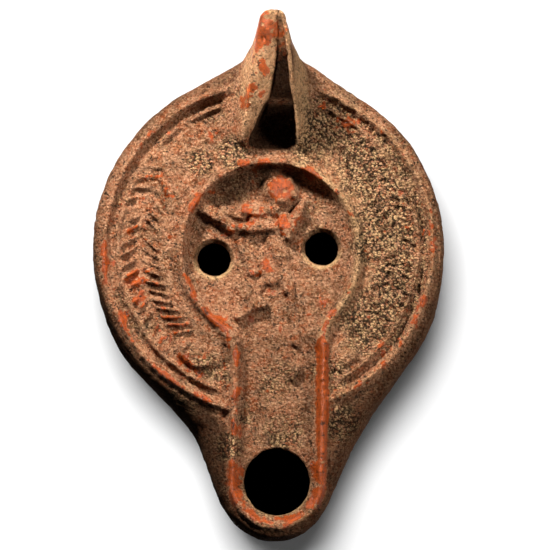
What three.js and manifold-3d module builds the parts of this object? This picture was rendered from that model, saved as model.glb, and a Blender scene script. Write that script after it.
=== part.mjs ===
// A Roman mould-made oil lamp of red clay: one hollow fired piece. A round body runs out into a
// nozzle with a wick hole, a sunken discus opens into a channel that leads to the wick hole, a broad
// shoulder carries a palm branch on each side, and a pointed lug handle stands at the back.
// Units are millimetres, +Z is up, the nozzle points to -Y and the handle to +Y. The origin is the
// centre of the foot, on the surface that the lamp stands on.

import * as THREE from "three";
import { mergeVertices } from "three/addons/utils/BufferGeometryUtils.js";
import Module from "manifold-3d";

const wasm = await Module();
wasm.setup();

// Body
const bodyWidth = 80.4;
const bodyLength = 81.4;
const seamHeight = 14;
const bellyRoundness = 1.6; // exponent of the curve from the foot to the seam
const wallRoundness = 3; // exponent of the curve from the seam to the shoulder
const wallThickness = 4;

// Foot
const footDiameter = 36;
const footHeight = 0.9;
const footSpread = 0.4;
const footGrooveDiameter = 29;
const footGrooveWidth = 1.4;
const footGrooveDepth = 0.8;

// Shoulder
const shoulderHeight = 25.8; // at the foot of the outer ridge
const shoulderRise = 1.7; // from there up to the discus rim
const outerRidgeDiameter = 74.6;
const outerRidgeWidth = 2.6;
const outerRidgeHeight = 1;
const outerGrooveWidth = 1.4;
const outerGrooveDepth = 0.5;
const lineRidgeWidth = 1;
const lineRidgeHeight = 0.4;
const innerGrooveDiameter = 48;
const innerGrooveWidth = 0.8;
const innerGrooveDepth = 0.4;

// Discus, channel and their common rim, which also runs round the wick hole
const discusX = 0.3;
const discusY = -0.8;
const discusRimDiameter = 40.2; // crest to crest
const channelX = 2.6; // the channel leaves the discus a little right of its centre
const channelStartY = -24;
const channelRimWidth = 19.6;
const wickRimDiameter = 19.8;
const channelFillet = 6;
const rimHeight = 28.6;
const rimFall = 1.4; // from the discus to the nozzle
const rimOuterReach = 1.3;
const rimInnerReach = 3.1;
const discusFloorHeight = 24.8;

// Nozzle and its wick hole
const nozzleX = 1.6;
const nozzleY = -56.8;
const nozzleDiameter = 16.3;
const nozzleFlare = 40; // how far the hollow between body and nozzle is filled
const neckFullness = 0.8; // the right side of the neck stands out this much more than the left
const nozzleTopFlare = 8;
const wickHoleX = 1.9;
const wickHoleY = -53.1;
const wickHoleDiameter = 15.2;

// Filling holes, left and right of the figure
const fillerHoleDiameter = 9;
const fillerHoles = [
  { x: -12.4, y: -2.6 },
  { x: 12.1, y: -0.2 },
];

// Handle: a solid lug on a low root, with a broad rib on its left, a thin one on its right and a groove
// between them that opens into a deep recess at the foot.
const handleRootX = 1.4;
const handleRootY = 38;
const handleRootDiameter = 6.6;
const handleFlare = 17.8;
const handleFootY = 22;
const handleLength = 29.4;
const handleHeight = 45.5;
const handleX = 0.6;
const handleWidth = 13;
const handleFlank = 2.6; // how far each flank spreads from its rib to the underside, short of the tip
const handleTaper = 12; // length over which the flanks close in to the tip
// Stations from the foot to the tip, in shares. How far along the length it is, then of the height: the
// ribs, the underside and the groove, then of the width: where the left rib starts, how wide the left
// rib and the right rib are, and where the right one ends.
const handleStations = [
  [0, 0.607, 0.31, 0.58, -0.51, 0.09, 0.08, 0.48],
  [0.07, 0.644, 0.31, 0.589, -0.49, 0.12, 0.08, 0.48],
  [0.2, 0.699, 0.31, 0.593, -0.47, 0.17, 0.08, 0.47],
  [0.31, 0.743, 0.31, 0.607, -0.43, 0.25, 0.08, 0.45],
  [0.36, 0.765, 0.31, 0.725, -0.4, 0.29, 0.08, 0.43],
  [0.49, 0.822, 0.31, 0.782, -0.36, 0.35, 0.08, 0.4],
  [0.63, 0.886, 0.31, 0.851, -0.33, 0.38, 0.08, 0.37],
  [0.76, 0.941, 0.37, 0.912, -0.26, 0.37, 0.09, 0.32],
  [0.83, 0.969, 0.57, 0.947, -0.23, 0.33, 0.09, 0.28],
  [0.91, 0.993, 0.76, 0.98, -0.18, 0.25, 0.08, 0.22],
  [0.97, 1, 0.88, 0.993, -0.1, 0.17, 0.06, 0.17],
  [1, 0.987, 0.93, 0.982, -0.03, 0.09, 0.04, 0.12],
];

// Palm branches
const palmInnerRadius = 24.7;
const palmRibRadius = 29.4;
const palmRibGap = 0.7; // bare strip along the rib, between the two rows of leaflets
const palmOuterRadius = 33.6;
const palmStep = THREE.MathUtils.degToRad(4.7);
const palmStart = THREE.MathUtils.degToRad(21); // from the middle of the handle
const palmEnd = THREE.MathUtils.degToRad(133);
const leafletSweep = THREE.MathUtils.degToRad(6.5);
const leafletWidth = 1.5;
const leafletHeight = 0.8;
const palmButtAngle = THREE.MathUtils.degToRad(143);
const palmButtLength = 7.8;
const palmButtWidth = 6;
const palmButtHeight = 1;

// Figure in relief on the discus floor: a striding dancer with one arm out and the other raised.
const figureRelief = 1.5;
const figureLimbs = [
  { name: "head", from: [2.9, 13.8], to: [2.9, 12.9], width: 7.2 },
  { name: "neck", from: [2.5, 10], to: [1.6, 8], width: 3.8 },
  { name: "shoulders", from: [-3.4, 7], to: [3.6, 6.4], width: 4.6 },
  { name: "chest", from: [-0.6, 5.4], to: [1.6, 2.6], width: 7.6 },
  { name: "hips", from: [0.8, 1], to: [2.6, 0.2], width: 6.4 },
  { name: "outer_arm", from: [-4.6, 5.4], to: [-14.6, 8.8], width: 4 },
  { name: "raised_arm", from: [4.4, 5.8], to: [5, 3.4], width: 3.4 },
  { name: "raised_forearm", from: [5, 3.4], to: [7.4, 9.2], width: 3.2 },
  { name: "bent_thigh", from: [-0.6, -1.2], to: [-3.4, -6.6], width: 4.8 },
  { name: "bent_shin", from: [-3.4, -6.6], to: [-2.8, -12], width: 3.4 },
  { name: "bent_foot", from: [-2.6, -13.6], to: [-6.6, -15.4], width: 2.8 },
  { name: "straight_thigh", from: [3, -1.6], to: [4.8, -9.4], width: 4.8 },
  { name: "straight_shin", from: [4.8, -9.4], to: [6.4, -24.6], width: 3 },
  { name: "straight_foot", from: [6.4, -27], to: [5.4, -29.6], width: 2.8 },
];

// Fineness of the faceted forms
const bodyColumns = 74;
const chamberColumns = 40;
const rimColumns = 66;
const holeSides = 24;
const weldDistance = 1e-4;
const smallestFacet = 0.05; // where forms meet, facets that move the surface by less than this are joined

// Blends the smaller of two distances into the other over a length, which fills their inner corner.
function smoothUnion(first, second, blend) {
  const overlap = Math.max(blend - Math.abs(first - second), 0);
  return Math.min(first, second) - (overlap * overlap) / (4 * blend);
}

// 1 beside the right half of the neck, falling to 0 towards the body, the wick hole and the left.
function onNeckRight(x, y) {
  const sideways = THREE.MathUtils.smoothstep(x, channelRimWidth * 0.2, channelRimWidth * 0.5);
  const beforeNozzle = THREE.MathUtils.smoothstep(y, nozzleY, nozzleY * 0.74);
  const beforeDiscus = THREE.MathUtils.smoothstep(-y, discusRimDiameter * 0.15, discusRimDiameter * 0.5);
  return sideways * beforeNozzle * beforeDiscus;
}

// Distance from the seam's plan outline: an oval body, the nozzle and the root of the handle.
function outlineDistance(x, y) {
  const halfWidth = bodyWidth / 2;
  const body = (Math.hypot(x / halfWidth, y / (bodyLength / 2)) - 1) * halfWidth;
  const nozzle = Math.hypot(x - nozzleX, y - nozzleY) - nozzleDiameter / 2;
  const root = Math.hypot(x - handleRootX, y - handleRootY) - handleRootDiameter / 2;
  const plain = smoothUnion(smoothUnion(body, nozzle, nozzleFlare), root, handleFlare);
  return plain - neckFullness * onNeckRight(x, y);
}

// Distance from the rim's crest line, which runs round the discus, the channel and the wick hole.
function rimDistance(x, y) {
  const alongX = wickHoleX - channelX;
  const alongY = wickHoleY - channelStartY;
  const reach = ((x - channelX) * alongX + (y - channelStartY) * alongY) / (alongX ** 2 + alongY ** 2);
  const share = THREE.MathUtils.clamp(reach, 0, 1);
  const halfWidth = THREE.MathUtils.lerp(channelRimWidth, wickRimDiameter, share) / 2;
  const channel = Math.hypot(x - channelX - share * alongX, y - channelStartY - share * alongY) - halfWidth;
  const discus = Math.hypot(x - discusX, y - discusY) - discusRimDiameter / 2;
  return smoothUnion(discus, channel, channelFillet);
}

// Distance from the upper edge of the wall: round the outer ridge, and out round the nozzle's rim.
function topEdgeDistance(x, y) {
  const ridge = Math.hypot(x, y) - (outerRidgeDiameter + outerRidgeWidth) / 2;
  return smoothUnion(ridge, rimDistance(x, y) - rimOuterReach, nozzleTopFlare);
}

// Radius from the origin to an outline, where the distance from it is nil.
function radiusAt(distance, angle) {
  let inside = 0;
  let outside = bodyLength;
  for (let halving = 0; halving < 40; halving++) {
    const radius = (inside + outside) / 2;
    if (distance(radius * Math.cos(angle), radius * Math.sin(angle)) < 0) inside = radius;
    else outside = radius;
  }
  return (inside + outside) / 2;
}

// Points spaced evenly along an outline, so that its narrow end gets as many as it needs.
function evenPoints(distance, count) {
  const samples = 720;
  const outline = Array.from({ length: samples + 1 }, (_, i) => {
    const angle = (2 * Math.PI * i) / samples;
    const radius = radiusAt(distance, angle);
    return new THREE.Vector2(radius * Math.cos(angle), radius * Math.sin(angle));
  });
  const travelled = [0];
  for (let i = 1; i <= samples; i++) travelled.push(travelled[i - 1] + outline[i].distanceTo(outline[i - 1]));
  return Array.from({ length: count }, (_, column) => {
    const wanted = (travelled[samples] * column) / count;
    const next = travelled.findIndex((length) => length > wanted);
    const share = (wanted - travelled[next - 1]) / (travelled[next] - travelled[next - 1]);
    return outline[next - 1].clone().lerp(outline[next], share);
  });
}

// Direction in which a distance grows fastest at a point.
function outwards(distance, point) {
  const step = 0.05;
  const alongX = distance(point.x + step, point.y) - distance(point.x - step, point.y);
  const alongY = distance(point.x, point.y + step) - distance(point.x, point.y - step);
  return new THREE.Vector2(alongX, alongY).normalize();
}

function toSolid(geometry) {
  const bare = geometry.clone();
  bare.deleteAttribute("normal");
  bare.deleteAttribute("uv");
  const welded = mergeVertices(bare, weldDistance);
  const vertProperties = welded.getAttribute("position").array;
  const triVerts = new Uint32Array(welded.index.array);
  return new wasm.Manifold(new wasm.Mesh({ numProp: 3, vertProperties, triVerts }));
}

// A closed solid through rings of equal count, stacked from the lowest to the highest.
function loft(rings) {
  const count = rings[0].length;
  const index = [];
  for (let ring = 0; ring < rings.length - 1; ring++)
    for (let i = 0; i < count; i++) {
      const here = ring * count + i;
      const next = ring * count + ((i + 1) % count);
      index.push(here, next, next + count, here, next + count, here + count);
    }
  const cap = (ring) => THREE.ShapeUtils.triangulateShape(ring.map((p) => new THREE.Vector2(p.x, p.y)), []);
  const top = (rings.length - 1) * count;
  for (const [a, b, c] of cap(rings[0])) index.push(a, c, b);
  for (const [a, b, c] of cap(rings.at(-1))) index.push(top + a, top + b, top + c);
  const geometry = new THREE.BufferGeometry().setFromPoints(rings.flat());
  return toSolid(geometry.setIndex(index));
}

// A level ring a share of the way from one outline to another, point by point.
function levelRing(inner, outer, share, height) {
  return inner.map((point, i) => {
    const place = point.clone().lerp(outer[i], share);
    return new THREE.Vector3(place.x, place.y, height);
  });
}

// A quarter of a superellipse from (0, 0), level, to (1, 1), upright, in equal turns.
function quarterCurve(roundness, steps) {
  return Array.from({ length: steps + 1 }, (_, i) => {
    const turn = (Math.PI / 2) * (i / steps);
    return {
      out: Math.sin(turn) ** (2 / roundness),
      up: 1 - Math.cos(turn) ** (2 / roundness),
    };
  });
}

// Height of the plain shoulder between the discus rim and the outer ridge.
function shoulderSurface(radius) {
  const outer = outerRidgeDiameter / 2;
  const inner = discusRimDiameter / 2;
  return shoulderHeight + (shoulderRise * (outer - radius)) / (outer - inner);
}

const seamOutline = evenPoints(outlineDistance, bodyColumns);
const topEdge = evenPoints(topEdgeDistance, bodyColumns);

function circleAlong(outline, radius) {
  return outline.map((point) => point.clone().setLength(radius));
}

function circle(radius, height) {
  const points = circleAlong(seamOutline, radius);
  return levelRing(points, points, 0, height);
}

// The foot's flat underside with its groove, from the centre outwards.
function footRings() {
  const groove = footGrooveDiameter / 2;
  const foot = footDiameter / 2;
  return [
    circle(groove - footGrooveWidth / 2, 0),
    circle(groove, footGrooveDepth),
    circle(groove + footGrooveWidth / 2, 0),
    circle(foot, 0),
  ];
}

// From the foot out to the seam, along the belly and the underside of the nozzle.
function bellyRings() {
  const foot = circleAlong(seamOutline, footDiameter / 2 + footSpread);
  return quarterCurve(bellyRoundness, 6).map(({ out, up }) =>
    levelRing(foot, seamOutline, out, footHeight + (seamHeight - footHeight) * up),
  );
}

// From the seam up to the wall's upper edge.
function wallRings() {
  return quarterCurve(wallRoundness, 4)
    .slice(0, -1)
    .reverse()
    .map(({ out, up }) => levelRing(topEdge, seamOutline, out, shoulderHeight - (shoulderHeight - seamHeight) * up));
}

// The outer ridge, the groove inside it, the thin ridge along the palm branches and the inner groove.
function shoulderRings() {
  const ridge = outerRidgeDiameter / 2;
  const ridgeInside = ridge - outerRidgeWidth / 2;
  const grooveInside = ridgeInside - outerGrooveWidth;
  const line = grooveInside - lineRidgeWidth / 2;
  const innerGroove = innerGrooveDiameter / 2;
  return [
    [ridge + outerRidgeWidth / 4, 0.8 * outerRidgeHeight],
    [ridge, outerRidgeHeight],
    [ridge - outerRidgeWidth / 4, 0.8 * outerRidgeHeight],
    [ridgeInside, 0],
    [ridgeInside - outerGrooveWidth / 2, -outerGrooveDepth],
    [grooveInside, 0],
    [line, lineRidgeHeight],
    [line - lineRidgeWidth / 2, 0],
    [innerGroove + innerGrooveWidth / 2, 0],
    [innerGroove, -innerGrooveDepth],
    [innerGroove - innerGrooveWidth / 2, 0],
  ].map(([radius, lift]) => circle(radius, shoulderSurface(radius) + lift));
}

function bodySolid() {
  return loft([...footRings(), ...bellyRings(), ...wallRings(), ...shoulderRings()]);
}

const rimCrest = evenPoints(rimDistance, rimColumns);

function rimRing(reach, height, fall = rimFall) {
  const slope = fall / -wickHoleY;
  return rimCrest.map((point) => {
    const place = outwards(rimDistance, point).multiplyScalar(reach).add(point);
    return new THREE.Vector3(place.x, place.y, height + slope * Math.min(place.y, 0));
  });
}

// The rim as a plug that stands out of the shoulder, before the discus is sunk into it.
function rimPlug() {
  return loft([
    rimRing(rimOuterReach, seamHeight),
    rimRing(rimOuterReach, rimHeight - 0.9),
    rimRing(rimOuterReach / 2, rimHeight - 0.2),
    rimRing(0, rimHeight),
  ]);
}

// What is cut out of the plug: the discus and the channel, with a sloping side up to the rim's crest.
function discusSpace() {
  const depth = rimHeight - discusFloorHeight;
  return loft([
    rimRing(-rimInnerReach, discusFloorHeight, 0),
    rimRing(-0.8 * rimInnerReach, discusFloorHeight + 0.12 * depth, 0),
    rimRing(-0.2 * rimInnerReach, rimHeight - 0.12 * depth),
    rimRing(-0.05 * rimInnerReach, rimHeight),
    rimRing(-0.05 * rimInnerReach, rimHeight + depth),
  ]);
}

// The oil chamber, which keeps the wall's thickness to the outside all round.
function chamberSolid() {
  const outside = evenPoints(outlineDistance, chamberColumns);
  const wide = outside.map((point) =>
    outwards(outlineDistance, point).multiplyScalar(-wallThickness).add(point),
  );
  const narrow = circleAlong(outside, footDiameter / 2 - wallThickness);
  const ceiling = discusFloorHeight - wallThickness;
  const lower = quarterCurve(bellyRoundness, 5);
  const upper = quarterCurve(2, 3).slice(0, -1).reverse();
  return loft([
    ...lower.map(({ out, up }) => levelRing(narrow, wide, out, wallThickness + (seamHeight - wallThickness) * up)),
    ...upper.map(({ out, up }) => levelRing(narrow, wide, out, ceiling - (ceiling - seamHeight) * up)),
  ]);
}

// A round hole through the top wall, cut upwards from the middle of the chamber.
function holeSolid({ x, y }, diameter) {
  const height = rimHeight;
  const geometry = new THREE.CylinderGeometry(diameter / 2, diameter / 2, height, holeSides);
  geometry.rotateX(Math.PI / 2);
  geometry.translate(x, y, seamHeight + height / 2);
  return toSolid(geometry);
}

// The lug handle: upright slices across it, from the discus out to the tip.
function handleSolid() {
  const slices = handleStations.map(([along, ribs, underside, groove, start, leftRib, rightRib, end]) => {
    const y = handleFootY + handleLength * along;
    const at = (share) => handleHeight * THREE.MathUtils.lerp(underside, ribs, share);
    const across = (share) => handleX + handleWidth * share;
    const left = across(start);
    const leftEdge = across(start + leftRib);
    const rightEdge = across(end - rightRib);
    const right = across(end);
    const grooveFloor = handleHeight * groove;
    const grooveSide = THREE.MathUtils.lerp(grooveFloor, handleHeight * ribs, 0.15);
    const grooveWidth = rightEdge - leftEdge;
    const toTip = (handleLength * (1 - along)) / handleTaper;
    const flank = handleFlank * Math.min(toTip, 1);
    return [
      [left - flank, at(0)],
      [(left + right) / 2, at(0)],
      [right + flank, at(0)],
      [right + flank * 0.7, at(0.5)],
      [right + flank * 0.3, at(0.85)],
      [right, at(0.98)],
      [(right + rightEdge) / 2, at(1)],
      [rightEdge, at(0.98)],
      [rightEdge - grooveWidth * 0.12, grooveSide],
      [rightEdge - grooveWidth * 0.45, grooveFloor],
      [leftEdge + grooveWidth * 0.12, grooveSide],
      [leftEdge, at(0.97)],
      [(left + leftEdge) / 2, at(1)],
      [left, at(0.98)],
      [left - flank * 0.3, at(0.85)],
      [left - flank * 0.7, at(0.5)],
    ].map(([x, z]) => new THREE.Vector3(x, z, -y));
  });
  return loft(slices.reverse()).rotate([90, 0, 0]);
}

function onShoulder(radius, angle) {
  return new THREE.Vector3(radius * Math.cos(angle), radius * Math.sin(angle), shoulderSurface(radius));
}

// A long low diamond between two points: pointed at both ends, with a crest along its middle.
function leafSolid(from, to, width, height) {
  const along = to.clone().sub(from);
  const geometry = new THREE.OctahedronGeometry(1);
  geometry.scale(along.length() / 2, width / 2, height);
  const turn = new THREE.Quaternion().setFromUnitVectors(new THREE.Vector3(1, 0, 0), along.normalize());
  geometry.applyQuaternion(turn);
  const middle = from.clone().add(to).multiplyScalar(0.5);
  geometry.translate(middle.x, middle.y, middle.z);
  return toSolid(geometry);
}

// One palm branch: pairs of leaflets that sweep away from the handle, and a rounded butt near the nozzle.
function palmBranch(side) {
  const handleAngle = Math.PI / 2;
  const at = (turn) => handleAngle + side * turn;
  const rows = [
    [palmRibRadius - palmRibGap / 2, palmInnerRadius],
    [palmRibRadius + palmRibGap / 2, palmOuterRadius],
  ];
  const leaves = [];
  for (let turn = palmStart; turn < palmEnd; turn += palmStep)
    for (const [start, end] of rows) {
      const stem = onShoulder(start, at(turn));
      const point = onShoulder(end, at(turn + leafletSweep));
      leaves.push(leafSolid(stem, point, leafletWidth, leafletHeight));
    }
  const butt = new THREE.SphereGeometry(1, 10, 6);
  butt.scale(palmButtLength / 2, palmButtWidth / 2, palmButtHeight);
  butt.rotateZ(at(palmButtAngle) + Math.PI / 2);
  const place = onShoulder(palmRibRadius, at(palmButtAngle));
  butt.translate(place.x, place.y, place.z);
  return [...leaves, toSolid(butt)];
}

// The figure: flattened capsules, half sunk into the discus floor.
function figureSolids() {
  return figureLimbs.map(({ from, to, width }) => {
    const start = new THREE.Vector2(...from);
    const end = new THREE.Vector2(...to);
    const radius = width / 2;
    const geometry = new THREE.CapsuleGeometry(radius, start.distanceTo(end), 2, 8);
    geometry.scale(1, 1, figureRelief / radius);
    geometry.rotateZ(Math.atan2(end.y - start.y, end.x - start.x) - Math.PI / 2);
    geometry.translate((start.x + end.x) / 2, (start.y + end.y) / 2, discusFloorHeight);
    return toSolid(geometry);
  });
}

function lampSolid() {
  const outside = [rimPlug(), handleSolid(), ...palmBranch(-1), ...palmBranch(1)].reduce(
    (whole, piece) => whole.add(piece),
    bodySolid(),
  );
  const sunk = figureSolids().reduce((whole, piece) => whole.add(piece), outside.subtract(discusSpace()));
  const holes = fillerHoles.map((place) => holeSolid(place, fillerHoleDiameter));
  holes.push(holeSolid({ x: wickHoleX, y: wickHoleY }, wickHoleDiameter));
  const hollow = [chamberSolid(), ...holes].reduce((whole, tool) => whole.subtract(tool), sunk);
  return hollow.simplify(smallestFacet);
}

function toGeometry(solid) {
  const { vertProperties, triVerts } = solid.getMesh();
  const geometry = new THREE.BufferGeometry();
  geometry.setAttribute("position", new THREE.BufferAttribute(vertProperties, 3));
  geometry.setIndex(new THREE.BufferAttribute(triVerts, 1));
  geometry.computeVertexNormals();
  return geometry;
}

const redClay = new THREE.MeshStandardMaterial({ color: 0xa8674a, roughness: 0.85, metalness: 0 });

const lamp = new THREE.Group();
const body = new THREE.Mesh(toGeometry(lampSolid()), redClay);
body.name = "lamp_body";
lamp.add(body);

export default lamp;
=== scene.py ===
"""A Roman mould-made oil lamp of red clay on a white ground, seen almost from straight above.

The lamp is one fired piece. Its surface is built here from the same sizes as the CAD solid, with the
worn relief, the grit and the pits that the solid leaves out. Lengths are millimetres until the mesh is
made, +Z is up, the nozzle points to -Y and the handle to +Y.
"""

import math

import bmesh
import bpy
import numpy as np
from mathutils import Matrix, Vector, kdtree
from mathutils.geometry import delaunay_2d_cdt


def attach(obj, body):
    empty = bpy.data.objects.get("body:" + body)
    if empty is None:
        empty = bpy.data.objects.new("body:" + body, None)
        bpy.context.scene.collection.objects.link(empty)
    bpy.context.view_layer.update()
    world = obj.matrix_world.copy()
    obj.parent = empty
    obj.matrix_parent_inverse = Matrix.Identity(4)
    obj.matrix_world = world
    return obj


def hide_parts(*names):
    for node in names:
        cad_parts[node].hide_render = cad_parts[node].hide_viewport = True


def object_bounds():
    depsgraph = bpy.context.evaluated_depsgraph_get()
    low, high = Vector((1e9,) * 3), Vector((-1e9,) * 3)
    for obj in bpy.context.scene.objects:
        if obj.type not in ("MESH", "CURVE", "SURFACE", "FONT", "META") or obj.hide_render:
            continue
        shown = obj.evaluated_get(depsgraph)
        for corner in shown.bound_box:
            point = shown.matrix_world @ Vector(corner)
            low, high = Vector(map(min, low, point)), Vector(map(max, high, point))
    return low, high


MM = 0.001

# Sizes that the CAD solid has too. A circle is x, y, radius.
BODY_WIDTH, BODY_LENGTH = 80.4, 81.4
SEAM_Z = 14.0
FOOT_RADIUS, FOOT_Z, FOOT_SPREAD = 18.0, 0.9, 0.4
FOOT_GROOVE_RADIUS, FOOT_GROOVE_HALF, FOOT_GROOVE_DEPTH = 14.5, 0.7, 0.8
WALL = 4.0
SHOULDER_Z, SHOULDER_RISE = 25.8, 1.7
RIDGE_RADIUS, RIDGE_HALF = 37.3, 1.3
DISCUS = (0.3, -0.8, 20.1)
CHANNEL_START = (2.6, -24.0, 9.8)
WICK_RIM = (1.9, -53.1, 9.9)
CHANNEL_FILLET = 6.0
RIM_Z, RIM_FALL, RIM_OUT, RIM_IN = 28.6, 1.4, 1.3, 3.1
FLOOR_Z = 24.8
NOZZLE = (1.6, -56.8, 8.15)
NOZZLE_FLARE, NOZZLE_TOP_FLARE = 40.0, 8.0
NECK_FULLNESS = 0.8
ROOT = (1.4, 38.0, 3.3)
ROOT_FLARE = 17.8
WICK_HOLE = (1.9, -53.1, 7.6)
FILLERS = ((-12.4, -2.6, 4.5), (12.1, -0.2, 4.5))
HOLES = (WICK_HOLE,) + FILLERS
CHAMBER_TOP = FLOOR_Z - WALL

# Chamber: how far in from its outline the ceiling and the floor still bend
CEILING_ARCH, FLOOR_BOWL = 12.0, 20.0

# Hole edges: how far they are worn back and down, then how much narrower each kind gets, over what depth
HOLE_LIP, HOLE_LIP_DEPTH = 0.2, 0.25
HOLE_CLOSING, WICK_CLOSING, CLOSING_DEPTH = 0.75, 0.15, 1.5

# Outer wall: how square its corner is and how many rows it has, below the seam and above it
LOWER_SQUARE, LOWER_ROWS = 1.6, 26
UPPER_SQUARE, UPPER_ROWS = 3.0, 20

# Depths: round the outside of the rim, under the handle, and of the discus's and the channel's floor, and
# how much the floor rises below the figure's feet
RIM_SUNK, RECESS_SUNK, DISCUS_DIP, CHANNEL_DIP, FEET_RISE = 0.4, 1.8, 0.5, 0.35, 0.5

# Shoulder: the ridge's height, then by radius the groove inside it, a thin raised line and the sunk band
RIDGE_HEIGHT = 1.25
GROOVE_RADIUS, GROOVE_HALF, GROOVE_DEPTH = 35.35, 1.4, 0.65
LINE_RADIUS, LINE_HALF, LINE_HEIGHT = 34.0, 0.8, 0.75
BAND_IN, BAND_OUT, BAND_DEPTH = 24.0, 33.7, 0.35

# Handle: a broad rib on the left, a thin one on the right and a groove between them that opens into a
# deep recess at the foot. Stations from the foot to the tip, in shares: how far along the length it is,
# then of the height: the ribs, the underside and the groove, then of the width: where the left rib
# starts, how wide the left and the right rib are, and where the right one ends.
HANDLE_FOOT, HANDLE_LENGTH, HANDLE_HEIGHT = 22.0, 29.4, 45.5
HANDLE_X, HANDLE_WIDTH = 0.6, 13.0
HANDLE_SKIRT_Z = 25.5
RECESS_X = 0.7
HANDLE = (
    (0.00, 0.607, 0.31, 0.545, -0.54, 0.07, 0.06, 0.55),
    (0.05, 0.650, 0.31, 0.545, -0.52, 0.09, 0.06, 0.53),
    (0.20, 0.712, 0.31, 0.548, -0.47, 0.21, 0.06, 0.49),
    (0.33, 0.765, 0.31, 0.552, -0.42, 0.33, 0.06, 0.45),
    (0.37, 0.782, 0.31, 0.680, -0.40, 0.37, 0.06, 0.43),
    (0.49, 0.833, 0.31, 0.745, -0.37, 0.40, 0.07, 0.39),
    (0.63, 0.892, 0.31, 0.820, -0.33, 0.41, 0.07, 0.36),
    (0.76, 0.944, 0.37, 0.885, -0.27, 0.38, 0.07, 0.33),
    (0.85, 0.974, 0.60, 0.935, -0.23, 0.36, 0.07, 0.30),
    (0.93, 0.998, 0.78, 0.975, -0.20, 0.30, 0.07, 0.26),
    (0.972, 1.006, 0.86, 0.992, -0.15, 0.22, 0.06, 0.22),
    (0.998, 0.985, 0.92, 0.975, -0.02, 0.06, 0.03, 0.12),
)

# Knob and pits near the handle's tip: x, y, radius, rise
HANDLE_KNOBS = ((-0.1, 47.4, 2.2, 0.5), (-1.1, 45.1, 0.9, -0.9), (1.7, 45.1, 0.8, -0.7))

# Worn figure on the discus: from x, y to x, y, width, height
FIGURE = (
    (2.0, 13.9, 3.4, 12.2, 7.8, 2.3),
    (4.9, 15.4, 6.0, 11.6, 2.2, 2.4),
    (3.6, 10.6, 1.2, 8.6, 3.2, 1.3),
    (-5.2, 8.6, 1.4, 8.2, 3.8, 2.0),
    (-2.4, 6.4, 3.0, 4.2, 5.4, 1.6),
    (-14.9, 9.4, -8.4, 4.6, 3.4, 2.3),
    (-8.4, 4.6, -1.0, 4.6, 2.6, 1.9),
    (-10.6, 8.8, -6.0, 7.2, 2.6, 1.3),
    (-4.2, 3.9, 3.4, 4.8, 2.6, 2.0),
    (3.6, 6.4, 4.6, 2.6, 3.8, 2.1),
    (4.6, 2.6, 7.4, 9.6, 2.8, 2.1),
    (1.4, 1.6, 3.0, -1.6, 5.0, 1.3),
    (-6.4, 1.2, -3.4, -5.6, 3.0, 1.2),
    (-2.4, -2.0, 0.8, -7.0, 4.4, 1.2),
    (-1.4, -7.8, -3.4, -11.2, 2.6, 0.8),
    (-1.4, -12.9, -3.0, -13.0, 3.4, 1.9),
    (-3.6, -13.6, -6.9, -15.6, 2.4, 1.7),
    (3.4, -2.4, 4.6, -9.2, 3.2, 0.9),
    (4.9, -9.4, 6.2, -22.0, 2.2, 0.8),
    (6.6, -27.2, 5.6, -29.6, 2.0, 1.3),
)

# Palm branches: the radius of the leaves' inner ends, the rib and the outer ends, then turns in degrees
# from the handle: a leaf's spacing and slant, the branch's ends, and its cut butt with its half sizes
PALM_IN, PALM_RIB, PALM_OUT = 24.7, 29.4, 33.8
PALM_STEP, PALM_SWEEP = 4.7, 6.5
PALM_START, PALM_END = 19.0, 136.0
BUTT_TURN, BUTT_LONG, BUTT_WIDE = 146.0, 5.0, 3.2
LEAF_HEIGHT = 1.45

# Search for an outline: how many directions, and a radius in mm beyond the nozzle's tip
OUTLINE_STEPS, OUTLINE_REACH = 2881, 90.0

# Mesh: points round the outline and round the chamber, and how far apart those on the top and inside are
COLUMNS, CHAMBER_COLUMNS = 400, 90
TOP_SPACING, CHAMBER_SPACING = 0.36, 3.0

# The foot's face stays flat below this height
FOOT_CLEAR = 1.6

# Grains of grit and how far they are bent, and the depth of the roughness that is only shaded
GRAIN_SIZE, GRAIN_BEND, BUMP_DEPTH = 0.6, 0.8, 1.4

# Softening of the joint between handle and body
JOINT_REACH, JOINT_PASSES, JOINT_PULL = 1.7, 40, 0.6

# Camera: its tilt above the horizon, distance, the width that the picture shows there, and where it looks
CAMERA_TILT, CAMERA_DISTANCE, CAMERA_VIEW = 85.5, 650.0, 126.8
CAMERA_TARGET, CAMERA_RIGHT, CAMERA_DOWN = (0.0, 0.0, 15.0), 1.50, 5.42

# Light: the colour of the two on the lamp, and the spot near the handle's tip, in metres, that a third meets
WARM = (1.0, 0.965, 0.9)
HANDLE_TIP = (0.0005, 0.044, 0.034)

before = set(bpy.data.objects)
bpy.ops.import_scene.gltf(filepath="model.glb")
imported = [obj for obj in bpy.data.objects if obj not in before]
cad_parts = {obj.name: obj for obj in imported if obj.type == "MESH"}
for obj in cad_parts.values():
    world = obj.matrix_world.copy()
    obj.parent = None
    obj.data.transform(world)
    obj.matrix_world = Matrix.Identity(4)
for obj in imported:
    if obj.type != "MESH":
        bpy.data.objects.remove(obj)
CAD_LOW, CAD_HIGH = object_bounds()


def smooth_union(first, second, blend):
    """The nearer of two distances, with the corner between them rounded."""
    overlap = np.maximum(blend - np.abs(first - second), 0.0)
    return np.minimum(first, second) - overlap * overlap / (4.0 * blend)


def ramp(value, low, high):
    """0 below low, 1 above high, with a smooth rise between."""
    share = np.clip((value - low) / (high - low), 0.0, 1.0)
    return share * share * (3.0 - 2.0 * share)


def hill(value, half_width):
    """1 at nil, falling smoothly to 0 at half_width either side."""
    return 1.0 - ramp(np.abs(value), 0.0, half_width)


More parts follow.
